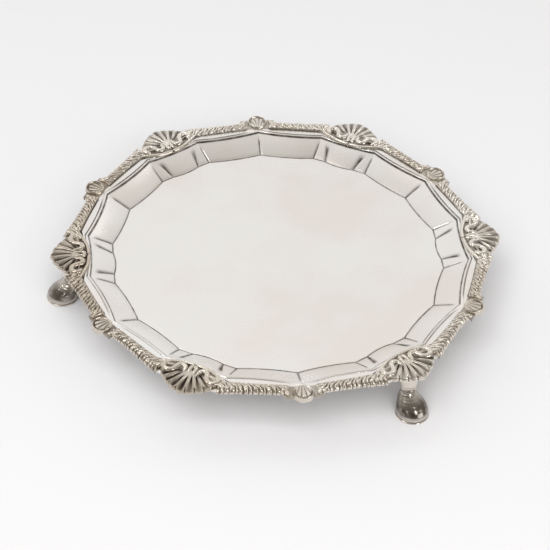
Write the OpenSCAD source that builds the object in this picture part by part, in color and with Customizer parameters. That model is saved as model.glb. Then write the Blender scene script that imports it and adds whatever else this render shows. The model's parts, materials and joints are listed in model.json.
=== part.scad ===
// Hexagonal silver salver. One sunk sheet carries an applied cast border of shells and
// gadroons, and stands on three cast hoof feet under every other large shell.
// Frame: +Z up, origin at the centre of the plane that the feet stand on.
// Large shells lie at 30 + 60 k degrees about +Z, small shells at 60 k degrees.

/* [Plan] */
// Diameter across the tips of opposite large shells
overall_d = 203; // [150:1:300]

/* [Sheet] */
// Height of the well's upper face above the table
well_h = 18.3; // [14:0.1:30]
// Rise of the sloping wall from the well to the flange
wall_rise = 5.5; // [3:0.1:9]
// Thickness of the silver sheet
sheet_t = 1; // [0.6:0.1:2]

/* [Border] */
// Height of the gadroon crest above the flange
gadroon_h = 1.9; // [1:0.1:3]
// Number of gadroons on each strip
gadroon_n = 13; // [8:1:14]
// Lean of a gadroon's outer end towards the small shell, in gadroon widths
gadroon_lean = 1.5; // [0:0.1:2]
// Height of a large shell's flutes above the flange
shell_h = 2.3; // [1.2:0.1:3]
// Number of flutes on each large shell
flute_n = 9; // [5:2:11]
// Height of a small shell above the flange
small_shell_h = 2.2; // [1.2:0.1:3]
// Number of ribs on each small shell
rib_n = 7; // [5:2:9]

/* [Feet] */
// Diameter of the flat sole
sole_d = 14.4; // [10:0.2:18]
// Thickness of the sole's square edge
sole_t = 0.8; // [0.4:0.1:1.5]
// Diameter of the collar between hoof and knuckle
collar_d = 6.8; // [5:0.1:9]
// Diameter of the rounded knuckle under the border
knuckle_d = 7.8; // [6:0.1:10]
// Distance that the toe stands forward of the knuckle
toe_forward = 3.6; // [0:0.1:4]

/* [Hidden] */

s = overall_d / 203;      // plan scale
sector = 60;              // one large shell with half a small shell on each side
flange_h = well_h + wall_rise;
lip_h = flange_h - sheet_t;

// Sheet outline, as [angle from the large shell's axis, radius].
well_corner = [30, 74.6 * s];
well_step = [10.3, 74.6 * s];
well_crease = [5.5, 73.8 * s];
wall_corner = [30, 85.8 * s];
wall_shoulder = [9.3, 85 * s];
well_bow_long = 0.8 * s;
well_bow_mid = 0.9 * s;
wall_bow_long = 1.1 * s;
wall_bow_mid = 0.9 * s;
steps_long = 6;
steps_short = 2;
steps_mid = 4;
inner_rings = [0.25, 0.6];  // rings of points across the well, as shares of its outline

// Border. The strips are narrowest at lull_a, and widen towards both kinds of shell.
lull_a = 22;
strip_in_r = 87.3 * s;
strip_out_r = 92.5 * s;
strip_in_swell = 0.009 * s;
strip_out_swell = 0.0208 * s;
edge_inset = 1.3 * s;     // how far the border hangs over the sheet's edge
sheet_max_r = 95 * s;
shell_a = 10;             // half angle of a large shell
leaf_a = 25.5;            // where the strips meet the small shells
shell_tip_r = overall_d / 2;
shell_fall = 0.6 * s;     // fall of the shell's outline for each degree
focus_r = 86.5 * s;       // where a large shell's flutes meet
fan_a = 81;               // half angle of the fan of flutes
scroll_a = 7;
scroll_r = 87.6 * s;
scroll_size = 2.2 * s;

// Feet.
foot_shells = [2, 4, 6];
sole_r = 96.8 * s;        // radius of the sole's centre from the salver's axis
hoof_h = 10.4;
knuckle_h = lip_h - hoof_h;
foot_sides = 20;

silver = [0.80, 0.78, 0.75];
shaded_silver = [0.66, 0.64, 0.61];
dark_silver = [0.45, 0.43, 0.41];

function polar(r, a) = [r * cos(a), r * sin(a)];

// Angle from the nearest large shell's axis, 0 to 30.
function shell_angle(a) = abs(((a % sector) + sector) % sector - sector / 2);

// Points from p to q, without q, bowed towards the salver's axis.
function bowed(p, q, bow, n) =
    let (d = q - p, inward = [-d.y, d.x] / norm(d))
    [for (i = [0:n - 1]) let (t = i / n) p + t * d + 4 * bow * t * (1 - t) * inward];

function at(key, side, axis) = polar(key[1], axis + side * key[0]);

function well_sector(axis) = concat(
    bowed(at(well_corner, -1, axis), at(well_step, -1, axis), well_bow_long, steps_long),
    bowed(at(well_step, -1, axis), at(well_crease, -1, axis), 0, steps_short),
    bowed(at(well_crease, -1, axis), at(well_crease, 1, axis), well_bow_mid, steps_mid),
    bowed(at(well_crease, 1, axis), at(well_step, 1, axis), 0, steps_short),
    bowed(at(well_step, 1, axis), at(well_corner, 1, axis), well_bow_long, steps_long)
);

function wall_sector(axis) = concat(
    bowed(at(wall_corner, -1, axis), at(wall_shoulder, -1, axis), wall_bow_long, steps_long),
    bowed(at(wall_shoulder, -1, axis), at(wall_shoulder, 1, axis), wall_bow_mid,
        2 * steps_short + steps_mid),
    bowed(at(wall_shoulder, 1, axis), at(wall_corner, 1, axis), wall_bow_long, steps_long)
);

axes = [for (k = [0:5]) sector / 2 + sector * k];
well_line = [for (axis = axes) each well_sector(axis)];
wall_line = [for (axis = axes) each wall_sector(axis)];

// Radii along the border, from the angle to the nearest large shell's axis.
function strip_in(a) = strip_in_r + strip_in_swell * pow(a - lull_a, 2);
function strip_out(a) = strip_out_r + strip_out_swell * pow(a - lull_a, 2);
function sheet_edge(a) = min(strip_out(abs(a)) - edge_inset, sheet_max_r);

edge_line = [for (p = wall_line)
    let (a = atan2(p.y, p.x)) polar(sheet_edge(shell_angle(a)), a)];

function lift(points, z) = [for (p = points) [p.x, p.y, z]];

// The side faces between neighbouring rings of n points, m rings in all.
function ring_faces(n, m) = [for (j = [0:m - 2], i = [0:n - 1])
    let (k = (i + 1) % n)
    [j * n + i, j * n + k, (j + 1) * n + k, (j + 1) * n + i]];

// Triangles across a ring of n points, all from the point numbered hub.
function ring_fan(n, hub) = [for (i = [1:n - 2]) [hub, (hub + i) % n, (hub + i + 1) % n]];

// A closed solid from rings of equal length. Each end ring is closed by triangles from its
// point numbered hub, which has to see every other point of the ring.
module ring_solid(rings, hub = 0) {
    n = len(rings[0]);
    m = len(rings);
    polyhedron(
        points = [for (ring = rings) each ring],
        faces = concat(
            [for (f = ring_fan(n, hub)) [f[2], f[1], f[0]]],
            ring_faces(n, m),
            [for (f = ring_fan(n, hub)) [for (i = f) (m - 1) * n + i]]
        ),
        convexity = 6
    );
}

// The same, closed by triangles that meet in the middle of each end ring.
module pointed_ring_solid(rings, first_middle, last_middle) {
    n = len(rings[0]);
    m = len(rings);
    polyhedron(
        points = concat([for (ring = rings) each ring], [first_middle, last_middle]),
        faces = concat(
            [for (i = [0:n - 1]) [m * n, (i + 1) % n, i]],
            ring_faces(n, m),
            [for (i = [0:n - 1]) [m * n + 1, (m - 1) * n + i, (m - 1) * n + (i + 1) % n]]
        ),
        convexity = 6
    );
}

module tray_body() {
    under_h = well_h - sheet_t;
    color(silver) pointed_ring_solid(
        [
            for (share = inner_rings) lift(share * well_line, well_h),
            lift(well_line, well_h),
            lift(wall_line, flange_h),
            lift(edge_line, flange_h),
            lift(edge_line, lip_h),
            lift(wall_line, lip_h),
            lift(well_line, under_h),
            for (i = [len(inner_rings) - 1:-1:0]) lift(inner_rings[i] * well_line, under_h)
        ],
        [0, 0, well_h], [0, 0, under_h]
    );
}

// Section of a border casting at angle a from the casting's own axis: its relief, then a
// flat underside with a step that fits over the sheet's edge. relief holds heights above
// the flange, inside to outside, and r_edge is the sheet's edge. The step's inner corner,
// two points after the relief, sees the whole section.
function border_section(a, r_in, r_out, r_edge, relief) =
    let (
        n = len(relief) - 1,
        radii = concat([for (i = [0:n]) r_in + (r_out - r_in) * i / n],
            [r_out, r_edge, r_edge, r_in]),
        heights = concat([for (h = relief) flange_h + h], [lip_h, lip_h, flange_h, flange_h])
    )
    [for (i = [0:len(radii) - 1]) [radii[i] * cos(a), radii[i] * sin(a), heights[i]]];

// Smooth hump over the width of a casting, 0.3 at the inside and 0.45 at the outside.
function swell(u) = 0.3 + 0.15 * u + 0.7 * pow(sin(180 * pow(u, 1.8)), 0.8);

// Grooved round profile, 1 on a ridge and 0 in a groove, with one ridge per unit.
function reeding(v) = abs(cos(180 * v));

function bump(x, y, size) = exp(-(x * x + y * y) / (size * size));

strip_steps = gadroon_n * 3;
strip_cuts = 5;            // relief points across a strip, less one
function strip_relief(a, u) =
    let (v = (a - shell_a) / (leaf_a - shell_a) * gadroon_n - gadroon_lean * sin(90 * u))
    gadroon_h * swell(u) * (0.6 + 0.4 * reeding(v + 0.5));

// Strip on the anticlockwise side of a large shell that lies along +X.
module strip() {
    ring_solid([for (i = [0:strip_steps])
        let (a = shell_a + (leaf_a - shell_a) * i / strip_steps)
        border_section(a, strip_in(a), strip_out(a), sheet_edge(a),
            [for (j = [0:strip_cuts]) strip_relief(a, j / strip_cuts)])], strip_cuts + 3);
}

module gadroon_strip(k) {
    axis = sector / 2 + sector * floor((k - 1) / 2);
    color(shaded_silver) rotate(axis) mirror([0, k % 2, 0]) strip();
}

// Large shell along +X: flutes from a focus, two scrolls and a bud on the inner side.
shell_steps = 36;
shell_cuts = 8;
flute_pitch = 2 * fan_a / flute_n;
function shell_in(a) =
    lookup(abs(a), [[0, 83.6 * s], [3, 84.1 * s], [8, 85.6 * s], [10, 88.6 * s]]);
function shell_out(a) =
    let (lobe = reeding(a / (2 * shell_a) * flute_n))
    shell_tip_r - shell_fall * abs(a) - (1 - lobe) * 1.2 * s * cos(9 * a);
function shell_relief(a, r) =
    let (
        x = r * cos(a),
        y = r * sin(a),
        fan = atan2(y, max(x - focus_r, 0.01)),
        reach = norm([x - focus_r, y]) / (shell_tip_r - focus_r),
        flute = reeding(fan / flute_pitch + 0.5) * min(reach, 1),
        scroll = bump(r - scroll_r, r * sin(abs(a) - scroll_a), scroll_size),
        bud = bump((r - 85.5 * s) / 1.6, y, 1.4 * s)
    )
    shell_h * (0.5 + 0.35 * flute + 0.15 * min(reach, 1) + 0.35 * max(scroll, bud));

module shell() {
    ring_solid([for (i = [0:shell_steps])
        let (a = -shell_a + 2 * shell_a * i / shell_steps, r0 = shell_in(a), r1 = shell_out(a))
        border_section(a, r0, r1, sheet_edge(a),
            [for (j = [0:shell_cuts]) shell_relief(a, r0 + (r1 - r0) * j / shell_cuts)])],
        shell_cuts + 3);
}

module large_shell(k) {
    color(shaded_silver) rotate(sector / 2 + sector * (k - 1)) shell();
}

// Small shell along +X: an oval ribbed boss between two plain leaves.
small_steps = 20;
small_cuts = 6;
small_a = sector / 2 - leaf_a;
function small_out(a) = lookup(abs(a),
    [[0, 97 * s], [1.2, 96.5 * s], [2.1, 95 * s], [2.6, 93.6 * s], [3.4, 94.6 * s],
        [small_a, strip_out(leaf_a)]]);
function small_relief(a, u) =
    let (
        oval = pow(a / 2.5, 2) + pow((u - 0.6) / 0.45, 2),
        rib = reeding(atan2(a / 2.5, u + 0.4) / 90 * rib_n),
        leaf = sin(180 * u) * bump(abs(a) - 3.5, 0, 0.8)
    )
    small_shell_h * (oval < 1 ? 0.55 + 0.35 * sqrt(1 - oval) + 0.1 * rib : 0.35 + 0.4 * leaf);

module small_boss() {
    ring_solid([for (i = [0:small_steps])
        let (a = -small_a + 2 * small_a * i / small_steps, r0 = strip_in(sector / 2 - abs(a)))
        border_section(a, r0, small_out(a), sheet_edge(sector / 2 - abs(a)),
            [for (j = [0:small_cuts]) small_relief(a, j / small_cuts)])], small_cuts + 3);
}

module small_shell(k) {
    color(shaded_silver) rotate(sector * (k - 1)) small_boss();
}

// Foot, from the sole up, as [height, radius, distance inward from the sole's centre].
foot_profile = concat(
    [[0, sole_d / 2, 0], [sole_t, sole_d / 2, 0]],
    [for (t = [0:0.2:1])
        [sole_t + (hoof_h - 1.2 - sole_t) * t,
            collar_d * 0.42 + (sole_d / 2 - 0.3 - collar_d * 0.42) * pow(cos(90 * t), 0.6),
            toe_forward * pow(t, 1.7)]],
    [[hoof_h - 0.9, collar_d / 2, toe_forward], [hoof_h - 0.1, collar_d / 2, toe_forward]],
    [for (t = [0:0.25:1])
        [hoof_h + knuckle_h * t,
            knuckle_d / 2 * (0.8 + 0.2 * sin(180 * min(t * 1.2, 1))), toe_forward]]
);

module hoof_foot(k) {
    axis = sector / 2 + sector * (foot_shells[k - 1] - 1);
    color(dark_silver) rotate(axis)
        ring_solid([for (i = [len(foot_profile) - 1:-1:0])
            let (f = foot_profile[i])
            [for (j = [0:foot_sides - 1])
                let (a = 360 * j / foot_sides)
                [sole_r - f[2] + f[1] * cos(a), f[1] * sin(a), f[0]]]]);
}

tray_body();
for (k = [1:6]) large_shell(k);
for (k = [1:6]) small_shell(k);
for (k = [1:12]) gadroon_strip(k);
for (k = [1:3]) hoof_foot(k);
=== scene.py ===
"""Looks of the hexagonal silver salver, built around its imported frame.

Shapes are described in millimetres, and solid_from_rings() turns their points into Blender's
metres. Materials, lights and the camera are in metres, where mm() gives a short length.
Border castings are made with their own axis along +X and then turned into place.
"""

import json
import math

import bmesh
import bpy
import numpy as np
from mathutils import Matrix, Vector

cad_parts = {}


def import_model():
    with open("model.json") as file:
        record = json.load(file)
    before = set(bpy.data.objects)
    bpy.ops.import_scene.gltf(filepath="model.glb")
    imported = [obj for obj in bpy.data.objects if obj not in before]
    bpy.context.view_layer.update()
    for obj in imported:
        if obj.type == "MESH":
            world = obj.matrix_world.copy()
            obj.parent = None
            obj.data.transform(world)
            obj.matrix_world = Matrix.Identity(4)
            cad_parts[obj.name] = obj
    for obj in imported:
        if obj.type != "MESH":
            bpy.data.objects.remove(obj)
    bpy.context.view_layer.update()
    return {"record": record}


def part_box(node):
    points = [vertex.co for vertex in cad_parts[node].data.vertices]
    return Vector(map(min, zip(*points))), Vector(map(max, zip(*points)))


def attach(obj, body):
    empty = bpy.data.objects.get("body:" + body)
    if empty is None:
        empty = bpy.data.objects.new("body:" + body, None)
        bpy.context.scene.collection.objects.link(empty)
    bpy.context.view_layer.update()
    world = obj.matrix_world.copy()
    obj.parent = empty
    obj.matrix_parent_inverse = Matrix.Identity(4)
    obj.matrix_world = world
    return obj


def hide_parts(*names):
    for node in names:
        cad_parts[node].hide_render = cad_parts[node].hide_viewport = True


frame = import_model()


def mm(millimetres):
    """A length in metres."""
    return millimetres * 0.001


def in_mm(metres):
    """A length in millimetres."""
    return metres * 1000


# ---------------------------------------------------------------- sizes, in millimetres
# Levels and reaches that the frame gives.
FLANGE = in_mm(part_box("tray_body")[1][2])
LIP = in_mm(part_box("gadroon_strip_1")[0][2])
SHEET = FLANGE - LIP
WELL_Z = next(m["pos_m"][2] for m in frame["record"]["mounts"] if m["name"] == "well")
WELL = in_mm(WELL_Z)
SMALL_TIP = in_mm(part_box("small_shell_1")[1][0])
FOOT_LOW, FOOT_HIGH = (in_mm(np.array(end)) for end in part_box("hoof_foot_1"))

# Outlines of the well and the wall, as (degrees from a large shell's axis, radius), and how
# far their straight sides bow inwards.
SECTOR = 60.0
WELL_CORNER = (30.0, 74.6)
WELL_STEP = (10.3, 74.6)
WELL_CREASE = (5.5, 73.8)
WALL_CORNER = (30.0, 85.8)
WALL_SHOULDER = (9.3, 85.0)
WELL_BOW_LONG, WELL_BOW_MID = 0.8, 0.9
WALL_BOW_LONG, WALL_BOW_MID = 1.1, 0.9

# Border. Its strips are narrowest at the angle LULL from a large shell's axis, and widen away
# from it by the swell times the square of the degrees.
LULL = 22.0
STRIP_IN, STRIP_IN_SWELL = 87.3, 0.009
STRIP_OUT, STRIP_OUT_SWELL = 92.5, 0.0208
SHELL_A = 10.0        # where a strip starts, at a large shell
LEAF_A = 25.5         # where it ends, at a small one
GADROONS = 13
EDGE_INSET = 1.3      # how far the border hangs over the sheet's edge
SHEET_MAX_R = 95.0    # the sheet's edge stops here under the shells


def strip_in(a):
    """Inner radius of the border at an angle from a large shell's axis."""
    return STRIP_IN + STRIP_IN_SWELL * (a - LULL) ** 2


def strip_out(a):
    """Outer radius of the border at an angle from a large shell's axis."""
    return STRIP_OUT + STRIP_OUT_SWELL * (a - LULL) ** 2


def sheet_edge(a):
    """Radius of the sheet's edge at an angle from a large shell's axis."""
    return np.minimum(strip_out(np.abs(a)) - EDGE_INSET, SHEET_MAX_R)


def shell_angle(degrees):
    """Degrees from a compass direction to the nearest large shell's axis."""
    return np.abs(np.mod(degrees, SECTOR) - SECTOR / 2)


# ---------------------------------------------------------------- mesh helpers
def smoothstep(low, high, x):
    """0 before low and 1 past high, with a smooth rise between; low may be the larger."""
    t = np.clip((x - low) / (high - low), 0.0, 1.0)
    return t * t * (3 - 2 * t)


def hump(x, width):
    """A smooth hill of height 1 about zero."""
    return np.exp(-((x / width) ** 2))


def polar(radius, degrees):
    """Flat points from radii and directions."""
    angle = np.radians(degrees)
    return np.stack([radius * np.cos(angle), radius * np.sin(angle)], axis=-1)


def ring_faces(rings, points):
    """Quads between neighbouring rings of points, each ring a closed loop."""
    faces = []
    for j in range(rings - 1):
        here, there = j * points, (j + 1) * points
        for i in range(points):
            k = (i + 1) % points
            faces.append((here + i, here + k, there + k, there + i))
    return faces


def solid_from_rings(rings, oxide_and_painted_shade):
    """Vertices in metres, faces and darkening (oxide and painted shade) of a closed solid, from rings
    of millimetre points.
    """
    count, points, _ = rings.shape
    faces = ring_faces(count, points)
    faces.append(tuple(range(points - 1, -1, -1)))
    faces.append(tuple((count - 1) * points + i for i in range(points)))
    oxide_and_painted_shade = np.broadcast_to(oxide_and_painted_shade, (count, points))
    return mm(rings.reshape(-1, 3)), faces, oxide_and_painted_shade.reshape(-1)


def joined(parts):
    """One vertex list, face list and list of oxide and painted shade from several."""
    verts, faces, oxide_and_painted_shade, start = [], [], [], 0
    for part_verts, part_faces, part_grime in parts:
        verts.append(part_verts)
        oxide_and_painted_shade.append(part_grime)
        faces.extend(tuple(i + start for i in face) for face in part_faces)
        start += len(part_verts)
    return np.concatenate(verts), faces, np.concatenate(oxide_and_painted_shade)


def turned(part, degrees, mirrored=False):
    """The part turned about the salver's axis, mirrored first if asked."""
    verts, faces, oxide_and_painted_shade = part
    verts = verts.copy()
    if mirrored:
        verts[:, 1] *= -1
        faces = [tuple(reversed(face)) for face in faces]
    angle = math.radians(degrees)
    x = verts[:, 0] * math.cos(angle) - verts[:, 1] * math.sin(angle)
    y = verts[:, 0] * math.sin(angle) + verts[:, 1] * math.cos(angle)
    return np.stack([x, y, verts[:, 2]], axis=1), faces, oxide_and_painted_shade


def piece(name, part, node, material, sharp=38.0):
    """A Blender object from a part, in place of a CAD node."""
    verts, faces, oxide_and_painted_shade = part
    mesh = bpy.data.meshes.new(name)
    mesh.from_pydata(verts.tolist(), [], faces)
    mesh.validate()
    # Each point's darkening: oxide in recesses, and painted shade where the shape asks for it.
    layer = mesh.attributes.new("oxide_and_painted_shade", "FLOAT", "POINT")
    layer.data.foreach_set("value", np.asarray(oxide_and_painted_shade, dtype=np.float32))
    fix_normals(mesh)
    mesh.polygons.foreach_set("use_smooth", [True] * len(mesh.polygons))
    mesh.set_sharp_from_angle(angle=math.radians(sharp))
    mesh.materials.append(material)
    made = bpy.data.objects.new(name, mesh)
    bpy.context.scene.collection.objects.link(made)
    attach(made, "root")
    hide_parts(node)
    return made


def fix_normals(mesh):
    """Turn every face outwards."""
    work = bmesh.new()
    work.from_mesh(mesh)
    bmesh.ops.recalc_face_normals(work, faces=work.faces)
    work.to_mesh(mesh)
    work.free()


# ---------------------------------------------------------------- tray
LONG_STEPS, SHORT_STEPS, MID_STEPS = 40, 12, 26    # points along each stretch of outline


def bowed(start, end, bow, steps):
    """Points from start towards end, without the end, bowed inwards and closer near both ends."""
    t = (0.5 - 0.5 * np.cos(np.pi * np.arange(steps) / steps))[:, None]
    run = end - start
    inward = np.array([-run[1], run[0]]) / np.linalg.norm(run)
    return start + t * run + 4 * bow * t * (1 - t) * inward


def corner(key, side):
    """One of the outline's named corners, on either side of the axis."""
    degrees, radius = key
    return polar(radius, side * degrees)


def well_sector():
    """A sixth of the well's outline: two long sides and the panel between two creases."""
    return np.concatenate([
        bowed(corner(WELL_CORNER, -1), corner(WELL_STEP, -1), WELL_BOW_LONG, LONG_STEPS),
        bowed(corner(WELL_STEP, -1), corner(WELL_CREASE, -1), 0.0, SHORT_STEPS),
        bowed(corner(WELL_CREASE, -1), corner(WELL_CREASE, 1), WELL_BOW_MID, MID_STEPS),
        bowed(corner(WELL_CREASE, 1), corner(WELL_STEP, 1), 0.0, SHORT_STEPS),
        bowed(corner(WELL_STEP, 1), corner(WELL_CORNER, 1), WELL_BOW_LONG, LONG_STEPS),
    ])


def wall_sector():
    """A sixth of the wall's top, with as many points as the well's outline."""
    across = 2 * SHORT_STEPS + MID_STEPS
    return np.concatenate([
        bowed(corner(WALL_CORNER, -1), corner(WALL_SHOULDER, -1), WALL_BOW_LONG, LONG_STEPS),
        bowed(corner(WALL_SHOULDER, -1), corner(WALL_SHOULDER, 1), WALL_BOW_MID, across),
        bowed(corner(WALL_SHOULDER, 1), corner(WALL_CORNER, 1), WALL_BOW_LONG, LONG_STEPS),
    ])


def around(points):
    """The six turned copies of one sector's points, in order."""
    copies = []
    for k in range(6):
        angle = math.radians(SECTOR * k + SECTOR / 2)
        turn = np.array([[math.cos(angle), math.sin(angle)], [-math.sin(angle), math.cos(angle)]])
        copies.append(points @ turn)
    return np.concatenate(copies)


def crease_distances():
    """Millimetres from each point of a sixth of the well's outline to its nearest crease."""
    outline = np.vstack([well_sector(), corner(WELL_CORNER, 1)])
    travel = np.concatenate([[0], np.cumsum(np.linalg.norm(np.diff(outline, axis=0), axis=1))])
    creases = np.cumsum([0, LONG_STEPS, SHORT_STEPS, MID_STEPS, SHORT_STEPS, LONG_STEPS])
    gaps = np.abs(travel[:-1, None] - travel[creases][None, :])
    return gaps.min(axis=1)


WALL_RUN = 11.0       # the wall's width seen from above
STEP_UP = 0.6         # the small upright step between the wall and the flange
SECOND_STEP = 0.25    # the lower step beside the gadroons
LINE_DEPTH = 0.16     # the line chased around the well
CREASE_DEPTH = 0.35   # the grooves between the wall's panels
# Where the rings of points lie: as shares of the well and of the wall, as millimetres across
# the well's line, and as millimetres out from the wall. They crowd where the surface turns.
WELL_SHARES = (0.04, 0.15, 0.3, 0.45, 0.6, 0.72, 0.82, 0.9, 0.955, 0.978)
WELL_LINE = (-0.9, -0.6, -0.42, -0.28, -0.14, 0.0, 0.14, 0.28, 0.42, 0.6, 0.9)
WALL_SHARES = (0.1, 0.12, 0.15, 0.18, 0.25, 0.32, 0.4, 0.48, 0.56, 0.64, 0.7, 0.76, 0.82,
               0.88, 0.94, 0.97, 0.985, 1.0)
FLANGE_STEPS = (0.06, 0.1, 0.2, 0.3, 0.36, 0.44, 0.47, 0.52, 0.62, 0.75, 0.9, 1.05, 1.2, 1.33,
                1.44, 1.54, 1.6, 1.66, 1.72, 1.8, 1.88, 1.92, 2.0, 2.12, 2.3, 2.6, 3.2)


def well_rows(well):
    """Rows of the well, each as (flat points, level, grime), out to the line around it."""
    rows = [(well * share, WELL, 0.0) for share in WELL_SHARES]
    for offset in (place for place in WELL_LINE if place < 0):
        dip = LINE_DEPTH * hump(offset, 0.25)
        rows.append((well * (1 + offset / WELL_CORNER[1]), WELL - dip, hump(offset, 0.3)))
    return rows


def wall_rows(well, wall, crease):
    """Rows up the wall, which has a groove at each crease of its panels."""
    rise = FLANGE - WELL - STEP_UP - SECOND_STEP
    rows = []
    offsets = [place for place in WELL_LINE if place >= 0] + [WALL_RUN * t for t in WALL_SHARES]
    for offset in offsets:
        t = offset / WALL_RUN
        fade = 1 - smoothstep(0.6, 0.86, t)
        groove = CREASE_DEPTH * hump(crease, 0.5) * fade * smoothstep(0.0, 0.08, t)
        groove = groove + LINE_DEPTH * hump(offset, 0.25)
        cove = rise * (t + 0.04 * np.sin(np.pi * t)) * (1 - 0.55 * hump(t, 0.07))
        darkness_of_oxide_and_shade = np.maximum(hump(crease, 0.36) * fade, hump(offset, 0.3))
        # A dark line at the top of the wall, at the foot of the step: oxide in the corner, with
        # painted shade.
        darkness_of_oxide_and_shade = darkness_of_oxide_and_shade + 0.6 * smoothstep(0.97, 0.985, t)
        rows.append((well + (wall - well) * t, WELL + cove - groove, darkness_of_oxide_and_shade))
    return rows


def flange_rows(wall, outward, near):
    """Rows over the upright step, a raised bead and the second step beside the gadroons."""
    # The second step's line fades before the shells.
    reed = smoothstep(28.5, 24.0, near) * smoothstep(6.0, 9.0, near)
    rows = []
    for d in FLANGE_STEPS:
        first = STEP_UP * (1 - smoothstep(0.35, 0.45, d))
        second = SECOND_STEP * (1 - smoothstep(1.7, 1.85, d)) + 0.12 * hump(d - 1.7, 0.12) * reed
        bead = 0.34 * hump(d - 1.05, 0.42) * (0.3 + 0.7 * reed)
        # Dark lines along the foot of each step: oxide in the corners, with painted shade.
        first_line = 0.85 if d < 0.5 else 0.45 if d < 0.6 else 0.0
        second_line = 0.75 if 1.6 < d < 1.95 else 0.0
        darkness_of_oxide_and_shade = np.maximum(first_line, second_line * reed)
        rows.append((wall + outward * d, FLANGE - first + bead - second, darkness_of_oxide_and_shade))
    return rows


def underside_rows(well, wall, edge, outward, crease):
    """Rows from the sheet's edge back in to the middle, a sheet's thickness lower."""
    rows = [(edge, FLANGE, 0.0), (edge, LIP, 0.3)]
    rows += [(wall + outward * d, LIP, 0.0) for d in (3.0, 1.2, 0.0)]
    for t in (0.9, 0.75, 0.5, 0.25, 0.08, 0.0):
        fade = (1 - smoothstep(0.6, 0.86, t)) * smoothstep(0.0, 0.1, t)
        level = WELL + (FLANGE - WELL) * t - SHEET - 0.2 * hump(crease, 0.8) * fade
        rows.append((well + (wall - well) * t, level, 0.3 * hump(crease, 0.5)))
    rows += [(well * share, WELL - SHEET, 0.0) for share in (0.97, 0.9, 0.7, 0.4, 0.04)]
    return rows


def tray_part():
    """The sheet, row by row: out over its upper face, then back in along the underside."""
    well = around(well_sector())
    wall = around(wall_sector())
    bearing = np.degrees(np.arctan2(wall[:, 1], wall[:, 0]))
    near = shell_angle(bearing)
    edge = polar(sheet_edge(near), bearing)
    outward = edge - wall
    outward = outward / np.linalg.norm(outward, axis=1)[:, None]
    crease = np.tile(crease_distances(), 6)
    rows = well_rows(well) + wall_rows(well, wall, crease) + flange_rows(wall, outward, near)
    rows += underside_rows(well, wall, edge, outward, crease)
    count = len(well)
    rings = [np.column_stack([flat, np.broadcast_to(level, count)]) for flat, level, _ in rows]
    oxide_and_painted_shade = [np.broadcast_to(darkness_of_oxide_and_shade, count) for _, _, darkness_of_oxide_and_shade in rows]
    return solid_from_rings(np.array(rings), np.array(oxide_and_painted_shade))


# ---------------------------------------------------------------- border castings
EDGE_DROP = 0.6     # how far a casting's rounded edge comes down past the flange
EDGE_TUCK = 0.35    # how far inside that edge its underside starts
SHELL_BASE = 0.3    # how far a shell's base sits above the sheet's underside


def rounded_fall(u, start):
    """1 up to start, then a quarter circle down to 0 at u = 1."""
    return np.sqrt(np.clip(1 - np.clip((u - start) / (1 - start), 0, 1) ** 2, 0, 1))


def sections(angles, r_in, r_out, r_edge, relief):
    """Rings across a casting that lies over the sheet's edge.

    relief is the height above the flange, one row for each angle, from the inner radius to
    the outer. The underside runs back from there to the sheet's edge and over the flange.
    """
    count, cuts = relief.shape
    radii = r_in[:, None] + (r_out - r_in)[:, None] * np.linspace(0.0, 1.0, cuts)
    low = np.full(count, LIP)
    top = np.full(count, FLANGE)
    back = np.minimum(r_edge, r_out - 0.5)
    radii = np.column_stack([radii, r_out - EDGE_TUCK, back, r_edge, r_in])
    heights = np.column_stack([FLANGE + relief, low, low, top, top])
    turn = np.radians(angles)[:, None]
    return np.stack([radii * np.cos(turn), radii * np.sin(turn), heights], axis=-1)


def gadroon_strip_part():
    """Slanting reeds with rounded, bead-like outer ends and dark gaps between them."""
    steps, cuts = GADROONS * 12, 30
    angles = np.linspace(SHELL_A - 1.6, LEAF_A + 0.6, steps + 1)
    u = np.linspace(0, 1, cuts)
    pitch = (LEAF_A - SHELL_A) / GADROONS
    lean = 2.1 * np.sin(0.5 * np.pi * np.minimum(u / 0.85, 1))
    uneven = 0.16 * np.sin(1.9 * angles) + 0.1 * np.sin(4.3 * angles + 1.0)
    phase = ((angles - SHELL_A) / pitch + uneven)[:, None] - lean
    reed = np.abs(np.sin(np.pi * phase))
    rounded = reed ** 0.55
    outer = smoothstep(0.5, 0.95, u)
    body = 0.95 + 0.8 * smoothstep(-0.1, 0.6, u)
    depth = 0.85 + 0.3 * np.sin(2.7 * angles + 0.5)[:, None]
    gap = (0.5 + 0.06 * outer) * depth * (1 - rounded)
    fall = rounded_fall(u, 0.5)
    relief = body * (1 - gap) + 0.18 * hump(u - 0.8, 0.15) * reed
    relief = relief * (0.12 + 0.88 * smoothstep(-0.02, 0.12, u)) * (0.1 + 0.9 * fall)
    relief = relief - EDGE_DROP * (1 - fall)
    notch = 0.5 * (1 - rounded[:, -1]) * (1 + 0.4 * np.sin(3.7 * angles))
    r_out = strip_out(angles) - notch
    rings = sections(angles, strip_in(angles), r_out, sheet_edge(angles), relief)
    darkness_of_oxide_and_shade = np.zeros(rings.shape[:2])
    gap_dirt = 1.2 * (1 - reed) ** 2.4 * (0.66 + 0.28 * outer) * depth
    darkness_of_oxide_and_shade[:, :cuts] = np.clip(np.maximum(gap_dirt, hump(u, 0.07)), 0, 1)
    # The rounded outer edge and underside are darkened: painted shade on faces that turn down towards
    # the floor, over some oxide.
    darkness_of_oxide_and_shade[:, cuts:cuts + 2] = 0.3 + 0.5 * darkness_of_oxide_and_shade[:, cuts - 1:cuts]
    return solid_from_rings(rings, darkness_of_oxide_and_shade)


FAN_FOCUS = 87.0    # radius from the salver's axis of the point where the flutes meet
FAN_HALF = 80.8     # half of the fan's spread about that point, in degrees
FAN_PITCH = 18.0    # degrees from one flute to the next
# The fan's reach from its focus, at directions counted from the shell's axis.
FAN_DIRECTIONS = (0.0, 17.4, 34.8, 52.7, 71.4, 80.8)
FAN_REACH = (14.35, 13.7, 13.3, 13.6, 14.4, 14.3)


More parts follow.
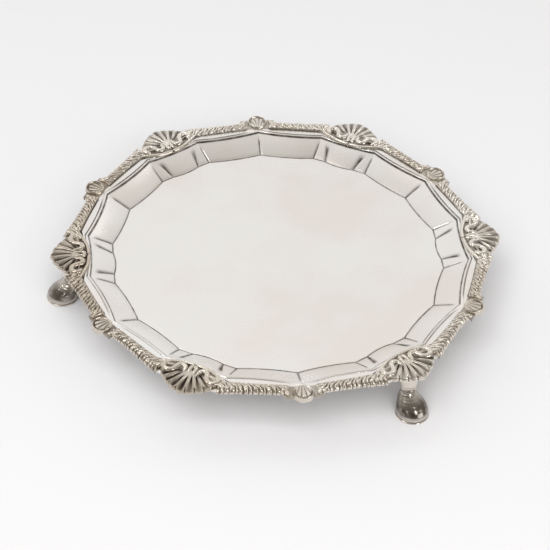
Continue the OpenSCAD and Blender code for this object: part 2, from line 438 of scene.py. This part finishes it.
def fan_relief(direction, off, chance, u):
    """Height above the flange, and darkening of oxide and painted shade, of the fan: slots, ridges,
    rim and notched edge.

    off is the distance from the nearest flute's axis as a share of the pitch, and u the
    distance from the focus as a share of the reach.
    """
    start = 0.28 + 0.1 * chance
    width = 0.11 + 0.15 * smoothstep(0.4, 0.85, u) + 0.02 * chance
    slot = hump(off - 0.05 * chance, width) * smoothstep(start, start + 0.22, u)
    slot = slot * smoothstep(1.0, 0.92, u) * (0.76 + 0.24 * chance)
    ridge = hump(np.abs(off) - 0.5, 0.1) * smoothstep(0.2, 0.5, u) * smoothstep(0.97, 0.85, u)
    rim = hump(u - 0.95, 0.04)
    notch = 0.6 * (1 - np.cos(np.pi * off)) ** 2.5 * smoothstep(0.84, 0.98, u)
    dome = 0.75 + np.sin(np.pi * 0.62 * u)
    fall = rounded_fall(u, 0.9)
    relief = (dome - 1.25 * slot + 0.1 * ridge + 0.08 * rim - notch) * (0.08 + 0.92 * fall)
    # Painted shade, with oxide, where the fan runs under the scrolls near its focus.
    side = smoothstep(22.0, 50.0, np.abs(direction))[:, None]
    under_scrolls = side * smoothstep(0.62, 0.42, u)
    darkness_of_oxide_and_shade = np.clip(0.95 * slot + 0.4 * notch + 0.1 + 0.7 * under_scrolls, 0, 1)
    return relief - EDGE_DROP * (1 - fall), darkness_of_oxide_and_shade


def fan_part(turn_of_hand):
    """The fan of flutes of a large shell, on a polar grid about its focus.

    turn_of_hand shifts the small unevenness of the chasing, so that no two shells match.
    """
    count, cuts = 288, 48
    direction = np.linspace(-FAN_HALF, FAN_HALF, count + 1)
    u = np.linspace(0.1, 1.0, cuts)
    lobe = direction / FAN_PITCH
    off = lobe - np.round(lobe)
    chance = np.sin(12.9 * np.round(lobe) + 3.1 * turn_of_hand)
    scallop = 1 - 0.07 * (1 - np.sqrt(np.clip(np.cos(np.pi * off), 0, 1)))
    reach = np.interp(np.abs(direction), FAN_DIRECTIONS, FAN_REACH)
    reach = reach * scallop * (1 + 0.009 * chance)
    relief, darkness_of_oxide_and_shade = fan_relief(direction, off[:, None], chance[:, None], u)
    distance = reach[:, None] * u
    distance = np.column_stack([distance, distance[:, -1] - EDGE_TUCK, distance[:, 0]])
    turn = np.radians(direction)[:, None]
    x = FAN_FOCUS + distance * np.cos(turn)
    y = distance * np.sin(turn)
    base = np.full((count + 1, 2), LIP + SHELL_BASE)
    z = np.column_stack([FLANGE + relief, base])
    darkness_of_oxide_and_shade = np.column_stack([darkness_of_oxide_and_shade, np.full((count + 1, 2), 0.4)])
    return solid_from_rings(np.stack([x, y, z], axis=-1), darkness_of_oxide_and_shade)


def tube_part(path, radii, squash, sides=18):
    """A bar along a path, its radius given at each point; squash scales its height."""
    run = np.gradient(path, axis=0)
    run /= np.linalg.norm(run, axis=1)[:, None]
    side = np.cross(run, (0.0, 0.0, 1.0))
    side /= np.linalg.norm(side, axis=1)[:, None]
    over = np.cross(side, run)
    turn = np.linspace(0, 2 * np.pi, sides, endpoint=False)[None, :, None]
    ring = side[:, None, :] * np.cos(turn) + squash * over[:, None, :] * np.sin(turn)
    return solid_from_rings(path[:, None, :] + ring * radii[:, None, None], 0.0)


def curve(points, count):
    """A smooth path through the points, by the Catmull-Rom rule."""
    points = np.asarray(points, float)
    padded = np.concatenate([[2 * points[0] - points[1]], points, [2 * points[-1] - points[-2]]])
    place = np.linspace(0, len(points) - 1, count)
    index = np.minimum(place.astype(int), len(points) - 2)
    t = (place - index)[:, None]
    p0, p1, p2, p3 = (padded[index + k] for k in range(4))
    slope = (p2 - p0) * t + (2 * p0 - 5 * p1 + 4 * p2 - p3) * t ** 2
    return p1 + 0.5 * (slope + (3 * p1 - p0 - 3 * p2 + p3) * t ** 3)


# Bars on a large shell, as (along the shell's axis, across it, radius of the bar).
FILLET = ((88.8, 19.5, 0.4), (88.4, 15.5, 0.8), (87.6, 12.9, 0.95), (86.2, 9.8, 0.95),
          (85.1, 6.8, 0.9), (84.5, 3.4, 0.85), (84.3, 0.0, 0.8))
VOLUTE = ((91.6, 2.6, 0.5), (89.8, 3.0, 0.9), (88.0, 3.3, 1.15), (87.0, 4.6, 1.25),
          (87.4, 6.2, 1.3), (89.2, 7.0, 1.3), (91.0, 7.8, 1.3), (92.0, 9.4, 1.35),
          (91.6, 11.3, 1.4), (89.9, 12.2, 1.4), (88.3, 11.3, 1.2), (88.2, 9.9, 0.9))
LEAF = ((91.7, 17.6, 0.5), (91.5, 15.6, 1.05), (91.2, 13.8, 1.25), (90.4, 12.9, 0.9))
BUD_SIDE = ((91.9, 0.7, 0.4), (90.0, 1.1, 0.85), (88.0, 1.2, 1.05), (86.5, 0.9, 1.05),
            (85.9, 0.0, 1.0))


def bar_part(points, side, rise, squash, count=64):
    """A round-ended bar along the points, rise above the flange; side -1 mirrors it."""
    line = curve(points, count)
    level = np.full(count, FLANGE + rise)
    path = np.column_stack([line[:, 0], side * line[:, 1], level])
    t = np.linspace(0, 1, count)
    ends = np.sqrt(np.clip(t / 0.04, 0, 1)) * np.sqrt(np.clip((1 - t) / 0.04, 0, 1))
    return tube_part(path, line[:, 2] * (0.08 + 0.92 * ends), squash)


def ground_part(angles, r_in, r_out, height, darkness_of_oxide_and_shade):
    """The low ground that the ornament of a casting stands on, darkened by oxide and painted shade
    round the ornament's feet.
    """
    relief = np.full((len(angles), 6), height)
    relief[:, 0] = 0.04
    return solid_from_rings(sections(angles, r_in, r_out, r_out - 0.5, relief), darkness_of_oxide_and_shade)


# Ground of a large shell: its inner radius at angles from the shell's axis.
GROUND_ANGLES = (0, 3, 6, 8, 10.6)
GROUND_INNER = (83.9, 84.6, 85.7, 87.0, 88.3)
GROUND_OUTER = 93.0    # outer radius, under the fan


def large_shell_part(turn_of_hand):
    """A fan of flutes, held by two scrolls that rise from a fillet along the flange."""
    angles = np.linspace(-GROUND_ANGLES[-1], GROUND_ANGLES[-1], 61)
    inner = np.interp(np.abs(angles), GROUND_ANGLES, GROUND_INNER)
    outer = np.full(len(angles), GROUND_OUTER)
    parts = [fan_part(turn_of_hand), ground_part(angles, inner, outer, 0.75, 0.8)]
    for side in (-1, 1):
        parts.append(bar_part(FILLET, side, rise=0.15, squash=0.95, count=90))
        parts.append(bar_part(VOLUTE, side, rise=0.75, squash=0.95, count=170))
        parts.append(bar_part(LEAF, side, rise=0.5, squash=1.0))
        parts.append(bar_part(BUD_SIDE, side, rise=0.55, squash=1.0))
    return joined(parts)


BOSS_X = 92.4       # radius of the boss's middle from the salver's axis
BOSS_WIDE = 4.7     # half of its width
BOSS_GROUND = 94.6  # outer radius of the ground it stands on
CRESCENT = ((87.9, 5.4, 0.5), (89.2, 6.4, 0.9), (90.8, 6.9, 1.1), (92.3, 6.7, 1.1),
            (93.5, 5.9, 0.8))
CRESCENT_LINE = ((88.2, 8.2, 0.4), (89.7, 8.8, 0.7), (91.4, 8.8, 0.8), (92.7, 8.1, 0.6))


def boss_part():
    """An oval boss with fine ribs, a groove and a rolled rim, from its outline inwards."""
    count, cuts = 84, 40
    half_long = SMALL_TIP - BOSS_X - 0.1
    turn = np.linspace(0, 2 * np.pi, count, endpoint=False)[None, :]
    share = np.linspace(1.0, 0.02, cuts)[:, None]
    x = BOSS_X + half_long * share * np.cos(turn)
    y = BOSS_WIDE * share * np.sin(turn)
    fan = np.arctan2(y, x - BOSS_X + half_long * 1.3)
    gaps = 1 - np.abs(np.cos(fan * 11.0))
    outside = smoothstep(-0.75, -0.1, np.cos(turn))
    rim = (0.1 + 0.5 * outside) * hump(share - 0.88, 0.07)
    groove = hump(share - 0.73, 0.05)
    lines = 0.35 * groove * (0.2 + 0.8 * outside) + 0.2 * gaps * smoothstep(0.78, 0.66, share)
    dome = 1.0 + 0.45 * np.sqrt(1 - share ** 2)
    fall = rounded_fall(share, 0.86)
    level = (dome + rim - lines) * (0.05 + 0.95 * fall) - EDGE_DROP * outside * (1 - fall)
    rings = np.stack([x, y, FLANGE + level], axis=-1)
    base = rings[:1].copy()
    base[..., :2] -= 0.05 * (base[..., :2] - (BOSS_X, 0.0))
    base[..., 2] = LIP + SHELL_BASE
    rib_dirt = 0.1 + 0.8 * gaps ** 1.5 * smoothstep(0.8, 0.66, share)
    darkness_of_oxide_and_shade = np.clip(np.maximum(rib_dirt, 0.8 * groove * outside), 0, 1)
    darkness_of_oxide_and_shade = np.concatenate([np.full((1, count), 0.6), darkness_of_oxide_and_shade])
    return solid_from_rings(np.concatenate([base, rings]), darkness_of_oxide_and_shade)


def small_shell_part():
    """The boss on its ground, between two plain leaves on each side."""
    angles = np.linspace(-4.9, 4.9, 25)
    inner = strip_in(SECTOR / 2 - np.abs(angles)) + 0.4
    outer = np.full(len(angles), BOSS_GROUND)
    parts = [boss_part(), ground_part(angles, inner, outer, 0.45, 0.5)]
    for side in (-1, 1):
        parts.append(bar_part(CRESCENT, side, rise=0.4, squash=0.95))
        parts.append(bar_part(CRESCENT_LINE, side, rise=0.4, squash=0.95))
    return joined(parts)


# ---------------------------------------------------------------- feet
# From the sole up, as (height, radius, distance inwards from the sole's centre).
FOOT = ((0.0, 6.95, 0), (0.15, 7.15, 0), (0.5, 7.15, 0), (0.72, 6.95, 0), (0.82, 6.7, 0),
        (0.95, 6.7, 0), (1.15, 6.88, 0.02), (1.9, 6.92, 0.1), (3.2, 6.75, 0.5), (4.6, 6.35, 1.15),
        (5.8, 5.85, 1.85), (7.0, 5.2, 2.6), (8.0, 4.5, 3.2), (8.9, 3.7, 3.85),
        (9.35, 3.15, 4.1), (9.55, 2.95, 4.2), (9.68, 3.25, 4.2), (9.95, 3.5, 4.2),
        (10.35, 3.5, 4.2), (10.65, 3.2, 4.3), (10.85, 2.75, 4.3), (11.2, 2.85, 4.3),
        (11.9, 3.3, 4.3), (13.0, 3.72, 4.3), (14.4, 3.9, 4.3), (15.8, 3.9, 4.3),
        (17.2, 3.78, 4.3), (18.6, 3.7, 4.3), (20.0, 3.8, 4.3), (21.2, 4.0, 4.3), (21.9, 4.1, 4.3))
KNUCKLE_FOOT = 11.2    # height of the knuckle's lower end
INTO_SHEET = 0.7       # how far the foot's top runs up into the sheet
SHARP_RINGS = 12       # rings of the sole and its edge, which aren't smoothed
DARK_RINGS = ((9.6, 0.22), (10.9, 0.28), (0.88, 0.12))    # (height, width) of grimy rings
TOE_LINES = (-0.5, -0.25, 0.0, 0.25, 0.5)    # directions of the toe's lines, in radians


def foot_profile():
    """Heights, radii and inward shifts of the foot's rings, from the sole up."""
    table = np.array(FOOT)
    above = table[:, 0] > KNUCKLE_FOOT
    stretch = (FOOT_HIGH[2] + INTO_SHEET - KNUCKLE_FOOT) / (table[-1, 0] - KNUCKLE_FOOT)
    table[above, 0] = KNUCKLE_FOOT + (table[above, 0] - KNUCKLE_FOOT) * stretch
    height, radius, inward = table.T
    hoof = np.linspace(1.15, 9.35, 30)
    knuckle = np.linspace(10.85, height[-1], 26)
    stations = np.unique(np.concatenate([height, hoof, knuckle]))
    smooth = np.interp(stations, height, radius)
    for _ in range(2):
        middle = 2 * smooth[SHARP_RINGS:-1]
        smooth[SHARP_RINGS:-1] = (smooth[SHARP_RINGS - 1:-2] + middle + smooth[SHARP_RINGS + 1:]) / 4
    return stations, smooth, np.interp(stations, height, inward)


def foot_part():
    """Knuckle, collar, hoof and flat sole, with the toe pointing along +X."""
    centre = FOOT_HIGH[1] - (FOOT_HIGH[0] - FOOT_LOW[0]) / 2
    sides = 84
    turn = np.linspace(0, 2 * np.pi, sides, endpoint=False)
    apart = np.mod(turn[:, None] - TOE_LINES + np.pi, 2 * np.pi) - np.pi
    lines = hump(apart, 0.06).sum(axis=1)
    rings, darkness_of_oxide_and_shade = [], []
    for z, r, shift in zip(*foot_profile(), strict=True):
        hoof = smoothstep(0.9, 1.2, z) * smoothstep(9.9, 9.3, z)
        toe = smoothstep(5.2, 6.6, z) * smoothstep(9.0, 8.0, z) * lines
        wide = r * (1 - 0.02 * toe)
        x = centre - shift + wide * np.cos(turn)
        rings.append(np.column_stack([x, wide * np.sin(turn), np.full(sides, z)]))
        ring_dirt = max(hump(z - place, width) for place, width in DARK_RINGS)
        # The hoof is darker in its middle than near the sole and the collar: tarnish, with painted
        # shade on the dark middle.
        shade = 0.32 + 0.5 * smoothstep(1.6, 3.8, z) - 0.4 * smoothstep(5.5, 9.0, z)
        darkness_of_oxide_and_shade.append(np.clip(np.maximum(hoof * shade + 0.12 * toe, ring_dirt), 0, 1))
    return solid_from_rings(np.array(rings), np.array(darkness_of_oxide_and_shade))


# ---------------------------------------------------------------- materials
def mix_colour(tree, factor, first, second):
    """A socket with the first colour where factor is 0 and the second where it is 1."""
    made = tree.nodes.new("ShaderNodeMix")
    made.data_type = "RGBA"
    for socket, value in zip((0, 6, 7), (factor, first, second), strict=True):
        if isinstance(value, tuple):
            made.inputs[socket].default_value = value
        else:
            tree.links.new(value, made.inputs[socket])
    return made.outputs[2]


def maths(tree, operation, first, second, clamp=False):
    """A socket with the result of an operation on a socket and a socket or number."""
    made = tree.nodes.new("ShaderNodeMath")
    made.operation = operation
    made.use_clamp = clamp
    tree.links.new(first, made.inputs[0])
    if isinstance(second, float):
        made.inputs[1].default_value = second
    else:
        tree.links.new(second, made.inputs[1])
    return made.outputs[0]


def ranged(tree, value, low, high, new_low=0.0, new_high=1.0):
    """A socket with the value moved from one range into another, and kept within it."""
    made = tree.nodes.new("ShaderNodeMapRange")
    tree.links.new(value, made.inputs["Value"])
    for socket, number in zip(range(1, 5), (low, high, new_low, new_high), strict=True):
        made.inputs[socket].default_value = number
    return made.outputs[0]


def noise(tree, coordinates, scale, detail=2.0, rough=0.5):
    """A socket with soft noise, its scale in waves per metre."""
    made = tree.nodes.new("ShaderNodeTexNoise")
    tree.links.new(coordinates, made.inputs["Vector"])
    made.inputs["Scale"].default_value = scale
    made.inputs["Detail"].default_value = detail
    made.inputs["Roughness"].default_value = rough
    return made.outputs["Fac"]


def scratches(tree, coordinates, angle, scale):
    """Fine straight marks that run one way, as noise stretched along them."""
    turn = tree.nodes.new("ShaderNodeMapping")
    tree.links.new(coordinates, turn.inputs["Vector"])
    turn.inputs["Rotation"].default_value = (0, 0, math.radians(angle))
    turn.inputs["Scale"].default_value = (scale, scale * 0.03, scale * 0.1)
    return ranged(tree, noise(tree, turn.outputs[0], 1.0, rough=0.6), 0.66, 0.74)


def bumped(tree, height, strength, distance, normal=None):
    """A normal bent by a height; normal is an earlier one to start from."""
    bump = tree.nodes.new("ShaderNodeBump")
    bump.inputs["Strength"].default_value = strength
    bump.inputs["Distance"].default_value = distance
    tree.links.new(height, bump.inputs["Height"])
    if normal is not None:
        tree.links.new(normal, bump.inputs["Normal"])
    return bump.outputs[0]


def tarnish(tree, place, one_sided):
    """Patches of tarnish, a darker and browner tone towards the left, and how stained the metal is in
    all.
    """
    patches = ranged(tree, noise(tree, place, 24.0, detail=3.0), 0.42, 0.66)
    specks = ranged(tree, noise(tree, place, 900.0), 0.7, 0.8, 0.0, 0.25)
    stain = maths(tree, "ADD", maths(tree, "MULTIPLY", patches, 0.75), specks, clamp=True)
    side = tree.nodes.new("ShaderNodeSeparateXYZ")
    tree.links.new(place, side.inputs[0])
    across = maths(tree, "ADD", side.outputs["X"], side.outputs["Y"])
    left = ranged(tree, across, mm(-20), mm(-120), 0.0, one_sided)
    return patches, left, maths(tree, "ADD", stain, left, clamp=True)


def oxide_and_shade_mask(tree, place, left, reach, span, alone):
    """How dark the metal is: oxide in tight recesses, plus the mesh's own oxide and painted shade."""
    cavity = tree.nodes.new("ShaderNodeAmbientOcclusion")
    cavity.samples = 12
    cavity.only_local = alone
    cavity.inputs["Distance"].default_value = reach
    hidden = ranged(tree, cavity.outputs["AO"], span[0], span[1], 1.0, 0.0)
    oxide_and_painted_shade = tree.nodes.new("ShaderNodeAttribute")
    oxide_and_painted_shade.attribute_name = "oxide_and_painted_shade"
    uneven = ranged(tree, noise(tree, place, 260.0), 0.3, 0.7, 0.65, 1.1)
    # The oxide also darkens towards the left.
    uneven = maths(tree, "ADD", uneven, maths(tree, "MULTIPLY", left, 0.45))
    dark = maths(tree, "MAXIMUM", hidden, oxide_and_painted_shade.outputs["Fac"])
    return maths(tree, "MULTIPLY", dark, uneven, clamp=True)


def silver(name, clean, stained, dark_colour_of_oxide_and_shade, roughness, dirt_rough, reach, span,
           one_sided=0.0, alone=False):
    """Worn silver: clean metal, patchy tarnish, dark oxide left in the recesses, and painted shade.

    reach is how near the walls of a recess must be to hold oxide, and span how open it may
    be, from black to clean. one_sided makes the metal darker and browner towards the left.
    alone leaves the other pieces out of what closes a recess.
    """
    material = bpy.data.materials.new(name)
    material.use_nodes = True
    tree = material.node_tree
    shader = tree.nodes["Principled BSDF"]
    place = tree.nodes.new("ShaderNodeTexCoord").outputs["Object"]
    patches, left, stain = tarnish(tree, place, one_sided)
    dark = oxide_and_shade_mask(tree, place, left, reach, span, alone)
    colour = mix_colour(tree, dark, mix_colour(tree, stain, clean, stained), dark_colour_of_oxide_and_shade)
    marks = maths(tree, "MAXIMUM", scratches(tree, place, 24, 900), scratches(tree, place, -51, 1100))
    haze = ranged(tree, patches, 0.0, 1.0, roughness, roughness + 0.1)
    rough = maths(tree, "ADD", haze, maths(tree, "MULTIPLY", dark, dirt_rough), clamp=True)
    rough = maths(tree, "ADD", rough, maths(tree, "MULTIPLY", marks, 0.06), clamp=True)
    dents = bumped(tree, noise(tree, place, 38.0), 0.13, mm(1.2))
    shader.inputs["Metallic"].default_value = 1.0
    tree.links.new(colour, shader.inputs["Base Color"])
    tree.links.new(rough, shader.inputs["Roughness"])
    tree.links.new(bumped(tree, marks, 0.01, mm(0.04), dents), shader.inputs["Normal"])
    return material


sheet_silver = silver(
    "sheet_silver", clean=(0.90, 0.885, 0.858, 1), stained=(0.84, 0.785, 0.735, 1),
    dark_colour_of_oxide_and_shade=(0.09, 0.07, 0.055, 1), roughness=0.22, dirt_rough=0.35, reach=mm(1.6),
    span=(0.1, 0.5))
cast_silver = silver(
    "cast_silver", clean=(0.87, 0.82, 0.75, 1), stained=(0.62, 0.545, 0.455, 1),
    dark_colour_of_oxide_and_shade=(0.06, 0.044, 0.032, 1), roughness=0.17, dirt_rough=0.3, reach=mm(1.2),
    span=(0.3, 0.8), one_sided=0.65)
foot_silver = silver(
    "foot_silver", clean=(0.82, 0.77, 0.70, 1), stained=(0.66, 0.60, 0.53, 1),
    dark_colour_of_oxide_and_shade=(0.045, 0.032, 0.024, 1), roughness=0.14, dirt_rough=0.0, reach=mm(1.0),
    span=(0.3, 0.8), alone=True)


# ---------------------------------------------------------------- build
piece("tray", tray_part(), "tray_body", sheet_silver, sharp=30)

boss = small_shell_part()
for k in range(1, 7):
    axis = SECTOR / 2 + SECTOR * (k - 1)
    shell = turned(large_shell_part(k), axis)
    piece(f"shell_{k}", shell, f"large_shell_{k}", cast_silver)
    turned_boss = turned(boss, SECTOR * (k - 1))
    piece(f"boss_{k}", turned_boss, f"small_shell_{k}", cast_silver)

strip = gadroon_strip_part()
for k in range(1, 13):
    axis = SECTOR / 2 + SECTOR * ((k - 1) // 2)
    turned_strip = turned(strip, axis, mirrored=k % 2 == 1)
    piece(f"gadroons_{k}", turned_strip, f"gadroon_strip_{k}", cast_silver)

foot = foot_part()
for k, axis in enumerate((90.0, 210.0, 330.0), start=1):
    piece(f"foot_{k}", turned(foot, axis), f"hoof_foot_{k}", foot_silver)


# ---------------------------------------------------------------- floor, light, camera
FLOOR_HALF = 3.0
VIEW_AZIMUTH, VIEW_ELEVATION, VIEW_ROLL = 21.8, 41.43, 2.79    # of the camera, in degrees
VIEW_DISTANCE = 0.7503
AIM = (0.0041, -0.0124, WELL_Z)
LENS = 110.7    # focal length in mm, on a sensor 36 mm wide


def compass(azimuth, elevation):
    """The direction from the salver that is azimuth degrees round from -Y and so far up."""
    a, e = math.radians(azimuth), math.radians(elevation)
    return (math.sin(a) * math.cos(e), -math.cos(a) * math.cos(e), math.sin(e))


def floor():
    """A plain pale sheet of paper."""
    corners = [(x * FLOOR_HALF, y * FLOOR_HALF, 0) for x, y in ((-1, -1), (1, -1), (1, 1), (-1, 1))]
    mesh = bpy.data.meshes.new("floor")
    mesh.from_pydata(corners, [], [(0, 1, 2, 3)])
    material = bpy.data.materials.new("floor_paper")
    material.use_nodes = True
    shader = material.node_tree.nodes["Principled BSDF"]
    shader.inputs["Base Color"].default_value = (0.56, 0.56, 0.57, 1)
    shader.inputs["Roughness"].default_value = 0.9
    mesh.materials.append(material)
    made = bpy.data.objects.new("floor", mesh)
    bpy.context.scene.collection.objects.link(made)


def softbox(name, turn, elevation, distance, size, watts, mirrored=True):
    """An area light that faces the salver, turn degrees round from the camera.

    With mirrored off it lights the floor and shadows, but the silver doesn't reflect it.
    """
    lamp = bpy.data.lights.new(name, "AREA")
    lamp.shape = "RECTANGLE"
    lamp.size, lamp.size_y = size
    lamp.energy = watts
    made = bpy.data.objects.new(name, lamp)
    azimuth = VIEW_AZIMUTH + turn
    made.location = tuple(distance * part for part in compass(azimuth, elevation))
    made.rotation_euler = (math.radians(90 - elevation), 0, math.radians(azimuth))
    made.visible_glossy = mirrored
    bpy.context.scene.collection.objects.link(made)


def world(turn, elevation, bright, bright_colour, dim, dim_colour):
    """A soft studio, brightest in one direction, and dimmer and warmer away from it."""
    made = bpy.data.worlds.new("studio")
    made.use_nodes = True
    tree = made.node_tree
    towards = tree.nodes.new("ShaderNodeVectorMath")
    towards.operation = "DOT_PRODUCT"
    tree.links.new(tree.nodes.new("ShaderNodeTexCoord").outputs["Generated"], towards.inputs[0])
    towards.inputs[1].default_value = compass(VIEW_AZIMUTH + turn, elevation)
    facing = ranged(tree, towards.outputs["Value"], -0.3, 0.85)
    strength = ranged(tree, towards.outputs["Value"], -0.3, 0.85, dim, bright)
    backdrop = tree.nodes["Background"]
    tree.links.new(mix_colour(tree, facing, dim_colour, bright_colour), backdrop.inputs["Color"])
    tree.links.new(strength, backdrop.inputs["Strength"])
    bpy.context.scene.world = made


def camera():
    """The camera, aimed at the well and rolled a little."""
    lens = bpy.data.cameras.new("camera")
    lens.lens = LENS
    lens.sensor_width = 36.0
    lens.clip_start = 0.01
    made = bpy.data.objects.new("camera", lens)
    azimuth, roll = math.radians(VIEW_AZIMUTH), math.radians(VIEW_ROLL)
    back = Vector(compass(VIEW_AZIMUTH, VIEW_ELEVATION))
    right = Vector((math.cos(azimuth), math.sin(azimuth), 0))
    up = back.cross(right)
    tilted_right = right * math.cos(roll) + up * math.sin(roll)
    tilted_up = up * math.cos(roll) - right * math.sin(roll)
    place = Matrix((tilted_right, tilted_up, back)).transposed().to_4x4()
    place.translation = Vector(AIM) + back * VIEW_DISTANCE
    made.matrix_world = place
    bpy.context.scene.collection.objects.link(made)
    bpy.context.scene.camera = made


floor()
world(196, 22, bright=0.88, bright_colour=(1.0, 0.993, 0.985, 1),
      dim=0.27, dim_colour=(1.0, 0.93, 0.83, 1))
softbox("key", -125, 52, 3.0, (1.6, 1.6), 5, mirrored=False)
softbox("sparkle", -165, 60, 3.0, (0.25, 0.25), 2)
softbox("sparkle_right", 152, 46, 3.0, (0.3, 0.3), 0.9)
softbox("sparkle_front", 40, 36, 2.4, (0.4, 0.4), 4.5)
softbox("sparkle_left", -95, 35, 2.4, (0.2, 0.2), 1.6)
softbox("sparkle_low", -20, 20, 2.4, (0.3, 0.15), 1.2)
softbox("streak", 120, 50, 3.0, (0.06, 0.9), 0.06)
softbox("side", 60, 16, 2.4, (1.4, 0.9), 8)
softbox("shoulder", -60, 58, 2.4, (0.8, 0.8), 5)
softbox("fill", -5, 52, 2.6, (2.6, 2.6), 95, mirrored=False)
camera()
bpy.context.scene.view_settings.view_transform = "Standard"
